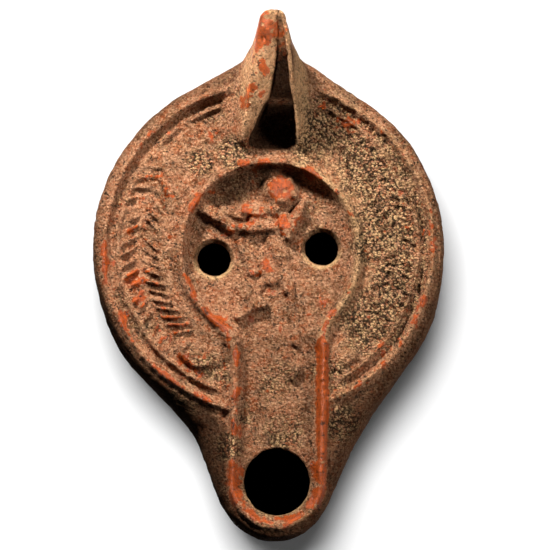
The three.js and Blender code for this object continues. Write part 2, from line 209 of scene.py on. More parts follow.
def swell(x, y):
    """How far the neck's two sides stand out beyond the plain outline, or hollow in, as in the photo."""
    right = ramp(x, 3.92, 9.8) * ramp(y, -56.8, -42.0) * ramp(-y, 6.0, 20.1)
    left = ramp(-x, 8.0, 14.0) * hill(y + 24.0, 11.0)
    hollow = ramp(-x, 6.0, 10.0) * hill(y + 41.0, 9.0)
    return NECK_FULLNESS * right + 0.7 * left - 0.4 * hollow


def outline_distance(x, y):
    """From the widest outline: body, nozzle and the handle's root. Below nil is inside."""
    half = BODY_WIDTH / 2.0
    body = (np.hypot(x / half, y / (BODY_LENGTH / 2.0)) - 1.0) * half
    nozzle = np.hypot(x - NOZZLE[0], y - NOZZLE[1]) - NOZZLE[2]
    root = np.hypot(x - ROOT[0], y - ROOT[1]) - ROOT[2]
    return smooth_union(smooth_union(body, nozzle, NOZZLE_FLARE), root, ROOT_FLARE) - swell(x, y)


def rim_distance(x, y):
    """From the crest of the rim round the discus and the channel. Below nil is inside."""
    along_x = WICK_RIM[0] - CHANNEL_START[0]
    along_y = WICK_RIM[1] - CHANNEL_START[1]
    reach = (x - CHANNEL_START[0]) * along_x + (y - CHANNEL_START[1]) * along_y
    share = np.clip(reach / (along_x**2 + along_y**2), 0.0, 1.0)
    half = CHANNEL_START[2] + (WICK_RIM[2] - CHANNEL_START[2]) * share
    channel = np.hypot(x - CHANNEL_START[0] - share * along_x, y - CHANNEL_START[1] - share * along_y) - half
    discus = np.hypot(x - DISCUS[0], y - DISCUS[1]) - DISCUS[2]
    return smooth_union(discus, channel, CHANNEL_FILLET)


def top_edge_distance(x, y):
    """From the edge where the top turns down into the outer wall."""
    ridge = np.hypot(x, y) - (RIDGE_RADIUS + RIDGE_HALF)
    return smooth_union(ridge, rim_distance(x, y) - RIM_OUT, NOZZLE_TOP_FLARE)


def even_points(distance, count):
    """Points spaced evenly along the outline where a distance is nil, found by halving the radius."""
    angles = np.linspace(0.0, 2.0 * np.pi, OUTLINE_STEPS)
    inside = np.zeros_like(angles)
    outside = np.full_like(angles, OUTLINE_REACH)
    for _ in range(40):
        radius = (inside + outside) / 2.0
        under = distance(radius * np.cos(angles), radius * np.sin(angles)) < 0.0
        inside = np.where(under, radius, inside)
        outside = np.where(under, outside, radius)
    points = np.column_stack((radius * np.cos(angles), radius * np.sin(angles)))
    steps = np.hypot(*np.diff(points, axis=0).T)
    travelled = np.concatenate(([0.0], np.cumsum(steps)))
    wanted = travelled[-1] * np.arange(count) / count
    return np.column_stack([np.interp(wanted, travelled, points[:, axis]) for axis in (0, 1)])


def lattice_value(cell, seed):
    """A fixed random number between 0 and 1 for each whole-number cell."""
    n = cell[:, 0] * 73856093 ^ cell[:, 1] * 19349663 ^ cell[:, 2] * 83492791 ^ seed * 2654435761
    n = (n ^ (n >> 13)) * 1274126177 & 0xFFFFFFFF
    n = (n ^ (n >> 15)) * 668265263 & 0xFFFFFFFF
    return ((n ^ (n >> 14)) & 0xFFFF) / 65535.0


def value_noise(points, cell_size, seed):
    """Smooth noise between 0 and 1, with lumps of about a cell."""
    scaled = points / cell_size
    cell = np.floor(scaled).astype(np.int64)
    part = scaled - cell
    part = part * part * (3.0 - 2.0 * part)
    total = np.zeros(len(points))
    for corner in range(8):
        offset = np.array([corner & 1, corner >> 1 & 1, corner >> 2 & 1])
        weight = np.prod(np.where(offset, part, 1.0 - part), axis=1)
        total += weight * lattice_value(cell + offset, seed)
    return total


def layered_noise(points, cell_size, seed, layers=3):
    """Noise with finer lumps on coarser ones, each layer half the size and strength of the last."""
    total = np.zeros(len(points))
    scale = 0.0
    for layer in range(layers):
        share = 0.5**layer
        total += share * value_noise(points, cell_size * share, seed + layer)
        scale += share
    return total / scale


def flat_noise(x, y, cell_size, seed, layers=3):
    """The same noise for a height that depends on x and y alone."""
    return layered_noise(np.column_stack((x, y, np.zeros_like(x))), cell_size, seed, layers)


def figure_height(x, y):
    """The worn figure, as rounded strokes with a wavy edge."""
    warp_x = x + flat_noise(x, y, 2.6, 11) - 0.5
    warp_y = y + flat_noise(x, y, 2.6, 23) - 0.5
    total = np.zeros_like(x)
    for x0, y0, x1, y1, width, height in FIGURE:
        dx, dy = x1 - x0, y1 - y0
        share = np.clip(((warp_x - x0) * dx + (warp_y - y0) * dy) / (dx * dx + dy * dy), 0.0, 1.0)
        away = np.hypot(warp_x - x0 - share * dx, warp_y - y0 - share * dy) / (width / 2.0)
        dome = height * (1.0 - ramp(away, 0.35, 1.2))
        total = np.maximum(total, dome) + 0.15 * np.minimum(total, dome)
    return total


def palm_height(x, y):
    """The two palm branches: leaves on both sides of a rib, and a scaly butt at the lower end."""
    radius = np.hypot(x, y)
    turn = np.degrees(np.arctan2(x, y))
    wobble = 3.6 * (flat_noise(x, y, 3.6, 37) - 0.5)
    inner = radius < PALM_RIB
    reach = np.where(
        inner, (PALM_RIB - radius) / (PALM_RIB - PALM_IN), (radius - PALM_RIB) / (PALM_OUT - PALM_RIB)
    )
    sweep = np.where(inner, PALM_SWEEP + 2.0 * ramp(np.abs(turn), 90.0, 125.0), 0.75 * PALM_SWEEP)
    phase = (np.abs(turn) + wobble - PALM_START - sweep * reach) / PALM_STEP
    stroke = 0.5 + 0.5 * np.cos(2.0 * np.pi * phase)
    ends = ramp(reach, 0.0, 0.22) * (1.0 - ramp(reach, 0.8, 1.05))
    span = ramp(np.abs(turn), PALM_START - 2.0, PALM_START + 4.0)
    span = span * (1.0 - ramp(np.abs(turn), PALM_END, PALM_END + 3.0))
    worn = ramp(flat_noise(x, y, 3.6, 41, 3), 0.3, 0.6)
    clear = np.where(x < 0.0, ramp(np.abs(turn), 40.0, 74.0), 0.55)
    chipped = 0.45 + 1.1 * flat_noise(x, y, 1.8, 43, 2)
    leaves = LEAF_HEIGHT * chipped * (stroke**1.5 - 0.3) * ends * span
    leaves = leaves * (0.25 + 0.75 * worn) * (0.3 + 0.7 * clear)
    side = np.sign(x)
    butt_x = side * PALM_RIB * math.sin(math.radians(BUTT_TURN))
    butt_y = PALM_RIB * math.cos(math.radians(BUTT_TURN))
    angle = np.radians(90.0 - side * BUTT_TURN)
    out = (x - butt_x) * np.cos(angle) + (y - butt_y) * np.sin(angle)
    across = -(x - butt_x) * np.sin(angle) + (y - butt_y) * np.cos(angle)
    ring = np.hypot(across / BUTT_LONG, out / BUTT_WIDE)
    from_end = np.hypot(across * side + BUTT_LONG, out)
    scales = 0.5 + 0.5 * np.cos(2.0 * np.pi * from_end / 2.0)
    butt = (1.0 + 0.55 * scales * ramp(from_end, 5.5, 7.0)) * (1.0 - ramp(ring, 0.68, 1.06))
    return np.maximum(leaves, butt * np.where(x < 0.0, 1.0, 0.5))


def top_height(x, y):
    """How high the top is: shoulder, ridge and branches outside the rim, discus and channel inside."""
    radius = np.hypot(x, y)
    uneven_radius = radius + 0.7 * (flat_noise(x, y, 11.0, 5) - 0.5)
    share = np.clip((RIDGE_RADIUS - radius) / (RIDGE_RADIUS - DISCUS[2]), 0.0, 1.0)
    shoulder = SHOULDER_Z + SHOULDER_RISE * share
    ridge = RIDGE_HEIGHT * (1.0 - ramp(np.abs(uneven_radius - RIDGE_RADIUS), 0.1, RIDGE_HALF + 0.2))
    groove = GROOVE_DEPTH * hill(uneven_radius - GROOVE_RADIUS, GROOVE_HALF)
    line_worn = ramp(flat_noise(x, y, 9.0, 61, 2), 0.3, 0.5)
    line = LINE_HEIGHT * hill(uneven_radius - LINE_RADIUS, LINE_HALF) * line_worn
    band = ramp(uneven_radius, BAND_IN - 0.6, BAND_IN + 0.6)
    band = band * (1.0 - ramp(uneven_radius, BAND_OUT - 0.5, BAND_OUT + 0.5))
    outside = shoulder + ridge - BAND_DEPTH * band + palm_height(x, y)

    away = rim_distance(x, y) + 0.7 * (flat_noise(x, y, 5.0, 3) - 0.5)
    crest = RIM_Z + RIM_FALL * np.minimum(y, 0.0) / -WICK_RIM[1] + 0.5 * (flat_noise(x, y, 6.0, 9) - 0.5)
    outside = outside + (line - groove) * ramp(away, 2.0, 7.0) - RIM_SUNK * hill(away - 2.2, 1.4)
    recess = (1.0 - ramp(np.abs(x - RECESS_X), 4.0, 5.6)) * ramp(y, 21.4, 23.4)
    outside = outside - RECESS_SUNK * recess * (1.0 - ramp(y, 33.0, 35.0))
    floor = FLOOR_Z - DISCUS_DIP * ramp(y, -10.0, 14.0) - CHANNEL_DIP * ramp(-y, 20.0, 34.0)
    near_feet = 1.0 - ramp(np.hypot(x - 6.0, y + 14.0), 3.0, 16.0)
    floor = floor + FEET_RISE * near_feet * ramp(-y, -6.0, 8.0)
    inside = floor + figure_height(x, y)
    fall = 1.0 - np.clip((-away - 0.35) / (RIM_IN - 0.35), 0.0, 1.0)
    slope_in = fall**2.2
    slope_out = 1.0 - ramp(away, 0.35, RIM_OUT + 0.2)
    within = inside + np.maximum(crest - inside, 0.0) * slope_in
    without = outside + np.maximum(crest - outside, 0.0) * slope_out
    return np.where(away < 0.0, within, without)


class Shell:
    """Points and faces of one closed surface."""

    def __init__(self):
        self.points = []
        self.faces = []

    def ring(self, flat, height):
        base = len(self.points)
        heights = np.broadcast_to(height, (len(flat),))
        self.points.extend((p[0], p[1], z) for p, z in zip(flat, heights))
        return list(range(base, base + len(flat)))

    def band(self, lower, upper):
        count = len(lower)
        for i in range(count):
            j = (i + 1) % count
            self.faces.append((lower[i], lower[j], upper[j], upper[i]))

    def fan(self, ring, x, y, z):
        centre = len(self.points)
        self.points.append((x, y, z))
        for i, here in enumerate(ring):
            self.faces.append((ring[(i + 1) % len(ring)], here, centre))

    def sheet(self, outer, holes, inside, spacing, height):
        """Fills the area between an outer ring and hole rings with an even lattice at a height."""
        rings = [outer] + holes
        loops = [np.array([self.points[i][:2] for i in ring]) for ring in rings]
        low, high = loops[0].min(0), loops[0].max(0)
        rows = np.arange(low[1], high[1], spacing * math.sqrt(0.75))
        grid = []
        for row, y in enumerate(rows):
            x = np.arange(low[0] + (row % 2) * spacing / 2.0, high[0], spacing)
            grid.append(np.column_stack((x, np.full_like(x, y))))
        grid = np.vstack(grid)
        grid = grid[inside(grid[:, 0], grid[:, 1])]
        flat = np.vstack(loops + [grid])
        indices = []
        start = 0
        for loop in loops:
            indices.append(list(range(start, start + len(loop))))
            start += len(loop)
        verts, _, faces, origins, _, owners = delaunay_2d_cdt(
            [Vector((float(x), float(y))) for x, y in flat], [], indices, 0, 1e-6, True
        )
        known = [i for ring in rings for i in ring]
        flat_out = np.array([(v.x, v.y) for v in verts])
        z = height(flat_out[:, 0], flat_out[:, 1])
        place = []
        for k, (x, y) in enumerate(flat_out):
            origin = origins[k][0] if origins[k] else len(known)
            if origin < len(known):
                place.append(known[origin])
            else:
                place.append(len(self.points))
                self.points.append((x, y, z[k]))
        for face, owner in zip(faces, owners):
            if list(owner) == [0]:
                self.faces.append(tuple(place[k] for k in face))


def quarter_curve(squareness, steps):
    """Shares out and up along a rounded corner: 2 is a round one, and more is squarer."""
    turns = np.linspace(0.0, np.pi / 2.0, steps + 1)
    power = 2.0 / squareness
    return [(math.sin(turn) ** power, 1.0 - max(math.cos(turn), 0.0) ** power) for turn in turns]


def circle_points(x, y, radius, count):
    angles = 2.0 * np.pi * np.arange(count) / count
    return np.column_stack((x + radius * np.cos(angles), y + radius * np.sin(angles)))


def chamber_distance(x, y):
    """From the widest outline of the oil chamber."""
    return outline_distance(x, y) + WALL


def chamber_ceiling(x, y):
    share = 1.0 - np.clip(-chamber_distance(x, y) / CEILING_ARCH, 0.0, 1.0)
    return SEAM_Z + (CHAMBER_TOP - SEAM_Z) * np.sqrt(1.0 - share**2)


def chamber_floor(x, y):
    share = 1.0 - np.clip(-chamber_distance(x, y) / FLOOR_BOWL, 0.0, 1.0)
    return SEAM_Z - (SEAM_Z - WALL) * (1.0 - share**1.6) ** 0.625


def outer_rows(shell):
    """Rings from the foot's groove up to the edge of the top."""
    seam = even_points(outline_distance, COLUMNS)
    edge = even_points(top_edge_distance, COLUMNS)
    along = seam / np.hypot(*seam.T)[:, None]
    half = FOOT_GROOVE_HALF
    rows = []
    for radius, z in (
        (FOOT_GROOVE_RADIUS - half, 0.0),
        (FOOT_GROOVE_RADIUS - half / 2.0, 0.6 * FOOT_GROOVE_DEPTH),
        (FOOT_GROOVE_RADIUS, FOOT_GROOVE_DEPTH),
        (FOOT_GROOVE_RADIUS + half / 2.0, 0.6 * FOOT_GROOVE_DEPTH),
        (FOOT_GROOVE_RADIUS + half, 0.0),
        (FOOT_RADIUS - 0.3, 0.0),
        (FOOT_RADIUS, 0.2),
    ):
        rows.append(shell.ring(along * radius, z))
    start = along * (FOOT_RADIUS + FOOT_SPREAD)
    for out, up in quarter_curve(LOWER_SQUARE, LOWER_ROWS):
        rows.append(shell.ring(start + (seam - start) * out, FOOT_Z + (SEAM_Z - FOOT_Z) * up))
    edge_z = top_height(edge[:, 0], edge[:, 1])
    for out, up in reversed(quarter_curve(UPPER_SQUARE, UPPER_ROWS)[:-1]):
        rows.append(shell.ring(edge + (seam - edge) * out, edge_z - (edge_z - SEAM_Z) * up))
    for lower, upper in zip(rows, rows[1:]):
        shell.band(lower, upper)
    shell.fan(rows[0], 0.0, 0.0, 0.0)
    return rows


def hole_rings(shell, hole):
    """Rings from a hole's worn edge down to the chamber's ceiling."""
    x, y, radius = hole
    count = int(radius * 13)
    closing = WICK_CLOSING if hole == WICK_HOLE else HOLE_CLOSING
    mouth = circle_points(x, y, radius + HOLE_LIP, count)
    upper_z = top_height(mouth[:, 0], mouth[:, 1])
    throat = circle_points(x, y, radius - closing, count)
    under_z = chamber_ceiling(throat[:, 0], throat[:, 1])
    rings = [shell.ring(mouth, upper_z)]
    rings.append(shell.ring(circle_points(x, y, radius, count), upper_z - HOLE_LIP_DEPTH))
    for share in (0.35, 0.7, 1.0):
        narrower = circle_points(x, y, radius - closing * share, count)
        rings.append(shell.ring(narrower, upper_z - HOLE_LIP_DEPTH - CLOSING_DEPTH * share))
    top_z = upper_z - (HOLE_LIP_DEPTH + CLOSING_DEPTH)
    for share in np.linspace(0.15, 1.0, 7):
        rings.append(shell.ring(throat, top_z + (under_z - top_z) * share))
    for upper, lower in zip(rings, rings[1:]):
        shell.band(lower, upper)
    return rings


def clear_of_holes(x, y, gap):
    clear = np.ones_like(x, dtype=bool)
    for hole_x, hole_y, radius in HOLES:
        clear &= np.hypot(x - hole_x, y - hole_y) > radius + gap
    return clear


def on_top(x, y):
    return (top_edge_distance(x, y) < -0.3) & clear_of_holes(x, y, HOLE_LIP + 0.25)


def over_floor(x, y):
    return chamber_distance(x, y) < -1.2


def under_ceiling(x, y):
    return over_floor(x, y) & clear_of_holes(x, y, 1.0)


def lamp_shell():
    shell = Shell()
    edge_ring = outer_rows(shell)[-1]
    waist = shell.ring(even_points(chamber_distance, CHAMBER_COLUMNS), SEAM_Z)
    holes = [hole_rings(shell, hole) for hole in HOLES]
    mouths = [rings[0] for rings in holes]
    ceilings = [rings[-1] for rings in holes]
    shell.sheet(edge_ring, mouths, on_top, TOP_SPACING, top_height)
    shell.sheet(waist, ceilings, under_ceiling, CHAMBER_SPACING, chamber_ceiling)
    shell.sheet(waist, [], over_floor, CHAMBER_SPACING, chamber_floor)
    return shell


def mesh_object(name, points, faces):
    mesh = bpy.data.meshes.new(name)
    mesh.from_pydata([tuple(p) for p in points], [], faces)
    work = bmesh.new()
    work.from_mesh(mesh)
    bmesh.ops.recalc_face_normals(work, faces=work.faces)
    work.to_mesh(mesh)
    work.free()
    obj = bpy.data.objects.new(name, mesh)
    bpy.context.scene.collection.objects.link(obj)
    return obj


def handle_points(along, ribs, underside, groove, start, left_rib, right_rib, end):
    """One closed slice of the handle at a station of its table."""

    def level(share):
        return HANDLE_HEIGHT * (underside + (ribs - underside) * share)

    def across(share):
        return HANDLE_X + HANDLE_WIDTH * share

    y = HANDLE_FOOT + HANDLE_LENGTH * along
    left, left_edge = across(start), across(start + left_rib)
    right_edge, right = across(end - right_rib), across(end)
    floor = HANDLE_HEIGHT * groove
    side = floor + 0.2 * (level(1.0) - floor)
    gap = right_edge - left_edge
    top = level(1.0)

    def flank(share):
        spread = min(30.0 * max(1.0 - along, 0.0) ** 1.9, 4.6)
        rise = (top - level(share)) / max(top - HANDLE_SKIRT_Z, 4.0)
        return spread * min(max(rise, 0.0), 1.0) ** 1.6

    levels = (0.0, 0.45, 0.65, 0.82, 0.93)
    right_side = [(right + flank(share), y, level(share)) for share in levels]
    left_side = [(left - flank(share), y, level(share)) for share in reversed(levels)]
    return right_side + [
        (right, y, level(0.99)),
        ((right + right_edge) / 2.0, y, top),
        (right_edge, y, level(0.98)),
        (right_edge - gap * 0.02, y, side),
        (right_edge - gap * 0.07, y, floor),
        (right_edge - gap * 0.5, y, floor),
        (left_edge + gap * 0.07, y, floor),
        (left_edge + gap * 0.02, y, side),
        (left_edge, y, level(0.97)),
        ((left + left_edge) / 2.0, y, top),
        (left, y, level(0.99)),
    ] + left_side + [((left + right) / 2.0, y, level(0.0))]


def handle_object():
    slices = [handle_points(*station) for station in HANDLE]
    count = len(slices[0])
    points = [p for one in slices for p in one]
    faces = []
    for k in range(len(slices) - 1):
        for i in range(count):
            j = (i + 1) % count
            faces.append((k * count + i, k * count + j, (k + 1) * count + j, (k + 1) * count + i))
    faces.append(tuple(range(count)))
    faces.append(tuple(range((len(slices) - 1) * count, len(slices) * count)))
    obj = mesh_object("handle_part", points, faces)
    smoother = obj.modifiers.new("round", "SUBSURF")
    smoother.levels = 3
    return obj


def applied_mesh(obj):
    graph = bpy.context.evaluated_depsgraph_get()
    return bpy.data.meshes.new_from_object(obj.evaluated_get(graph))


def coordinates(mesh):
    flat = np.empty(len(mesh.vertices) * 3)
    mesh.vertices.foreach_get("co", flat)
    return flat.reshape(-1, 3)


def vertex_normals(mesh):
    flat = np.empty(len(mesh.vertices) * 3, np.float32)
    mesh.vertex_normals.foreach_get("vector", flat)
    return flat.reshape(-1, 3)


def soften_joint(mesh, known):
    """Rounds the line where the handle grows out of the body."""
    tree = kdtree.KDTree(len(known))
    for i, point in enumerate(known):
        tree.insert(point, i)
    tree.balance()
    points = coordinates(mesh)
    near_handle = np.nonzero(points[:, 1] > 15.0)[0]
    fresh = [i for i in near_handle if tree.find(points[i])[2] > 1e-4]
    joint = kdtree.KDTree(len(fresh))
    for i in fresh:
        joint.insert(points[i], int(i))
    joint.balance()
    weight = np.zeros(len(points))
    for i in near_handle:
        weight[i] = math.exp(-((joint.find(points[i])[2] / JOINT_REACH) ** 2))
    edges = np.empty(len(mesh.edges) * 2, np.int64)
    mesh.edges.foreach_get("vertices", edges)
    edges = edges.reshape(-1, 2)
    linked = np.bincount(edges.ravel(), minlength=len(points)).astype(float)
    for _ in range(JOINT_PASSES):
        total = np.zeros_like(points)
        for axis in range(3):
            total[:, axis] = np.bincount(edges[:, 0], points[edges[:, 1], axis], len(points))
            total[:, axis] += np.bincount(edges[:, 1], points[edges[:, 0], axis], len(points))
        mean = total / linked[:, None]
        points += (mean - points) * (JOINT_PULL * weight)[:, None]
    mesh.vertices.foreach_set("co", points.ravel())
    mesh.update()


def patches(points, places):
    """How strongly round patches, given as x, y, radius and strength, cover each point."""
    total = np.zeros(len(points))
    for x, y, radius, strength in places:
        away = np.hypot(points[:, 0] - x, points[:, 1] - y) / radius
        total = np.maximum(total, strength * (1.0 - ramp(away, 0.35, 1.15)))
    return total


# Where lime and earth grit and orange slip lie, and the rim's painted shadow on the discus: x, y, radius,
# strength
CRUST_PLACES = (
    (29, 6, 13, 1.0), (25, 18, 12, 1.0), (30, -8, 10, 1.0), (24, -18, 10, 0.95), (15, 30, 10, 1.0),
    (14, -30, 6, 0.9), (-24, 24, 3, 0.5), (-13, 31, 5, 0.5), (-8, 37, 5, 0.7), (14, 35, 7, 0.6),
    (3, -31, 7, 0.5), (3, -41, 7, 0.6), (-9, -45, 4, 0.9), (17, -40, 6, 0.8), (-20, -34, 6, 0.7),
    (-15, 19, 4, 0.9), (-33, 12, 4, 0.5), (-12, -28, 5, 0.6), (0, -62, 6, 0.4), (23, 0, 6, 1.0),
    (-8, 21, 5, 1.0), (10, 22, 7, 0.8), (0, 40, 6, 0.3), (36, 14, 7, 0.7), (38, -4, 7, 0.6),
    (-33, -12, 5, 0.6), (-5.5, -38, 3, 1.0), (-3, -2, 6, 0.25), (-6, 14, 5, 0.5), (12, 6, 6, 0.4),
    (-29, -19, 4, 0.6), (-12, 10, 4, 0.4), (-16, -28, 5, 0.7), (10.5, -36, 2.5, 0.9),
)
SLIP_PLACES = (
    (-23, -19, 7, 0.85), (-29, -9, 6, 0.8), (-29, 3, 4, 0.7), (-8.6, -51, 4.2, 1.0), (2, -63.2, 3.6, 0.7),
    (-8.4, -57, 3.6, 1.0), (12.6, -50, 4.4, 1.0), (12.2, -56.5, 4, 0.95), (-1, 47, 5, 0.5),
    (3.5, 44, 4, 0.5), (-26, -30, 4, 0.6),
    (-15, 28, 6, 0.5), (3, 13, 4.5, 0.8), (5, 5, 5, 0.75), (-6, 6, 6, 0.6), (26, -24, 6, 0.5),
    (-1.5, 45.5, 4.5, 0.72), (-2, 39, 3, 0.55), (-5, 33, 2.6, 0.5), (2.5, 47, 3, 0.8),
    (-3, -5, 6, 0.5), (22, 30, 7, 0.6), (8, -12, 6, 0.5), (-4, 33, 5, 0.55), (-18, -25, 5, 0.6),
    (28, 4, 6, 0.45), (-24, 12, 6, 0.4), (0, -16, 6, 0.4), (-9, 38, 5, 0.3), (12, 34, 5, 0.3),
)
RIM_SHADOW_PLACES = ((-8, 14.5, 6.5, 1.0), (-2, 17, 5, 1.0), (5.5, 17.5, 4, 0.8), (-13, 9.5, 4.5, 0.7))
RIDGE_SLIP_PLACES = (
    (-35.5, -2, 7, 0.8), (-31, -18, 7, 0.9), (-22, -29, 6, 0.9), (-15, -33, 5, 0.8), (36, 3, 6, 0.55),
    (34, -14, 6, 0.6), (27, -24, 7, 0.65), (28, 24, 7, 0.6), (-27, 25, 5, 0.4), (19, -31, 5, 0.6),
)
RIM_SLIP_PLACES = (
    (-18.7, 9.1, 6, 0.55), (-17.8, -9.7, 6, 0.8), (-12.8, -17.6, 7, 0.95), (-8.3, -25.6, 6, 0.75),
    (-8, -37, 9, 0.7), (20, -8.6, 5, 0.5), (15, -17.6, 6, 0.9), (9.8, 17.5, 4, 0.9), (-4.2, 19.7, 5, 0.55),
    (18, 10, 5, 0.35), (12, -30, 9, 1.0), (12, -40, 9, 1.0),
)


def upper_share(z):
    return ramp(z, 21.0, 24.5)


def outer_wall(x, y, z):
    return ramp(top_edge_distance(x, y), -0.9, 0.8) * (1.0 - ramp(z, 26.0, 28.5))


def wick_distance(x, y):
    return np.hypot(x - WICK_HOLE[0], y - WICK_HOLE[1]) - WICK_HOLE[2]


def slip_mask(points):
    """Orange slip, left on what stands out: ridge, rims, leaves, figure, nozzle and handle."""
    x, y, z = points.T
    away = rim_distance(x, y)
    upper = upper_share(z)
    low_enough = 1.0 - ramp(z, 28.5, 29.5)
    ridge = hill(np.hypot(x, y) - RIDGE_RADIUS + 0.1, 1.7) * upper * ramp(away, 0.5, 1.5) * low_enough
    ridge = ridge * patches(points, RIDGE_SLIP_PLACES)
    crest = hill(away + 0.2, 1.9) * upper * low_enough * patches(points, RIM_SLIP_PLACES)
    right_rim = hill(x - 12.2, 2.4) * ramp(y, -51.0, -46.0) * (1.0 - ramp(y, -23.0, -17.0)) * upper
    bevel = hill(wick_distance(x, y) - 1.5, 1.6) * ramp(-y, 55.0, 58.0) * upper
    raised = ramp(palm_height(x, y), 0.1, 0.5) + ramp(figure_height(x, y), 0.9, 1.8) * (away < -2.0)
    raised = np.maximum(np.minimum(raised, 1.0) * upper, ramp(z, 30.0, 34.0))
    raised = np.maximum(raised, ramp(-y, 44.0, 50.0))
    chance = layered_noise(points, 3.2, 71, 4) + 0.7 * (layered_noise(points, 0.9, 83, 2) - 0.5)
    slip = np.maximum(0.9 * ridge, np.maximum(0.9 * crest, 0.7 * bevel))
    slip = np.maximum(slip, patches(points, SLIP_PLACES) * (0.42 + 0.5 * raised))
    slip = ramp(slip + 1.6 * (chance - 0.5), 0.36, 0.7)
    slip = np.maximum(slip, ramp(right_rim + 0.6 * (chance - 0.5), 0.3, 0.44))
    return slip * (1.0 - 0.8 * outer_wall(x, y, z))


def crust_mask(points, slip):
    """Grit, thin on the ridge, the raised line, the outer wall and the slip."""
    x, y, z = points.T
    radius = np.hypot(x, y)
    crust = patches(points, CRUST_PLACES) * (0.25 + 0.75 * upper_share(z))
    crust = ramp(crust + layered_noise(points, 3.4, 97, 5) - 0.5, 0.1, 1.05)
    crust = crust * (1.0 - 0.9 * hill(radius - 37.4, 2.8)) * (1.0 - 0.7 * hill(radius - 33.8, 1.8))
    crust = crust * (1.0 - 0.7 * ramp(radius, 38.0, 39.0) * ramp(y, -20.0, -8.0))
    return np.clip(crust + 0.16, 0.0, 1.0) * (1.0 - 0.85 * slip)


def groove_mask(x, y, z):
    """The handle's groove, from its recess nearly to the tip, painted dark as shade."""
    groove = (1.0 - ramp(np.abs(x - 3.0), 2.0, 3.2)) * ramp(y, 30.0, 34.0)
    groove = groove * (1.0 - ramp(z - 0.68 * (y - 33.0), 33.2, 34.8))
    return groove * (1.0 - ramp(y, 41.0, 47.0)) * ramp(z, 29.0, 31.0)


# The handle's recess at its foot, painted dark as shade
def recess_mask(x, y, z):
    recess = (1.0 - ramp(np.abs(x - RECESS_X), 5.0, 6.8)) * ramp(y, 20.6, 21.8) * (1.0 - ramp(y, 31.5, 33.5))
    return recess * ramp(z, 21.5, 22.5) * (1.0 - ramp(z - 0.72 * (y - 22.0), 25.4, 26.8))


def soot_and_shade_mask(points):
    """Soot on the nozzle; painted shade in the channel and the handle's recess and groove; the rim's painted
    shadow on the discus; and the outer wall darker towards the nozzle and on the left, and in the corner
    left of the channel.
    """
    x, y, z = points.T
    away = rim_distance(x, y)
    low_wall = outer_wall(x, y, z) * (0.4 + 0.55 * ramp(-y, -12.0, 16.0)) * np.where(x < 0.0, 1.0, 0.8)
    corner = hill(np.hypot(x + 15.5, y + 38.5), 6.5)
    corner = corner * ramp(np.hypot(x, y), 37.8, 38.8) * ramp(away, 1.2, 2.4)
    nozzle = ramp(-y, 50.0, 62.0) * ramp(wick_distance(x, y), 1.9, 3.6)
    # Painted shade in the channel, stronger towards the nozzle
    channel = ramp(-y, 12.0, 26.0) * ramp(-away, 0.8, 2.6)
    beside_figure = 1.0 - ramp(figure_height(x, y), 0.6, 1.6)
    # Painted shadow of the rim on the discus's upper left, kept off the figure
    rim_shadow = patches(points, RIM_SHADOW_PLACES) * ramp(-away, 0.4, 1.2) * beside_figure
    soot_and_shade = np.maximum(low_wall, np.minimum(1.6 * corner, 0.95))
    for layer in (
        0.85 * nozzle,
        0.26 * channel,
        # Painted shade in the handle's recess and groove
        1.2 * recess_mask(x, y, z),
        groove_mask(x, y, z),
        0.62 * rim_shadow,
    ):
        soot_and_shade = np.maximum(soot_and_shade, layer)
    return soot_and_shade


def hole_masks(points):
    """The inside of the lamp and the holes' walls below their edge, black as painted shade, and the painted
    highlight on the sunny part and painted shade on the shaded part of each hole's edge.
    """
    x, y, z = points.T
    inner, painted_highlight, shade = (np.zeros_like(x) for _ in range(3))
    for hole_x, hole_y, radius in HOLES:
        from_edge = np.hypot(x - hole_x, y - hole_y) - radius
        level = top_height(np.array([hole_x]), np.array([hole_y - radius - 1.0]))
        # Painted shade: each hole's wall is black from a little below its edge
        inner = np.maximum(inner, (from_edge < 0.05) * ramp(level - z, 1.7, 2.6))
        # Painted highlight on the hole edge's sunny side and painted shade on the other side
        sunny = 0.25 + 0.75 * ramp((hole_y - y) / radius, -0.1, 0.5)
        painted_highlight = np.maximum(painted_highlight, 0.9 * sunny * hill(from_edge + 0.3, 0.75) * ramp(z, 18.0, 19.5))
        shade = np.maximum(shade, 0.55 * (1.0 - sunny) * (np.abs(from_edge + 0.4) < 0.45))
    # Painted shade: the chamber's inside is black too
    hidden = (chamber_distance(x, y) < 0.3) & (z > WALL - 0.3) & (z < CHAMBER_TOP + 0.3)
    return np.where(hidden, 1.0, inner), painted_highlight, shade


def surface_masks(points):
    """How much slip, grit, soot and painted shade lies on each point, which are inside the lamp and black as
    painted shade, and the painted highlights.
    """
    x, y, z = points.T
    slip = slip_mask(points)
    inner, painted_highlight, shade = hole_masks(points)
    # Painted highlight on the handle's upper part and right flank, kept out of the groove
    right_flank = ramp(x, 4.5, 6.5) * ramp(z, 26.0, 29.0)
    handle_highlight = 0.3 * np.maximum(ramp(z, 29.0, 32.0), 1.5 * right_flank) * (1.0 - groove_mask(x, y, z))
    return {
        "slip": slip,
        "crust": crust_mask(points, slip),
        "soot_and_shade": np.clip(np.maximum(soot_and_shade_mask(points), shade), 0.0, 1.0),
        "inner": inner,
        "painted_highlight": np.maximum(handle_highlight, painted_highlight),
    }


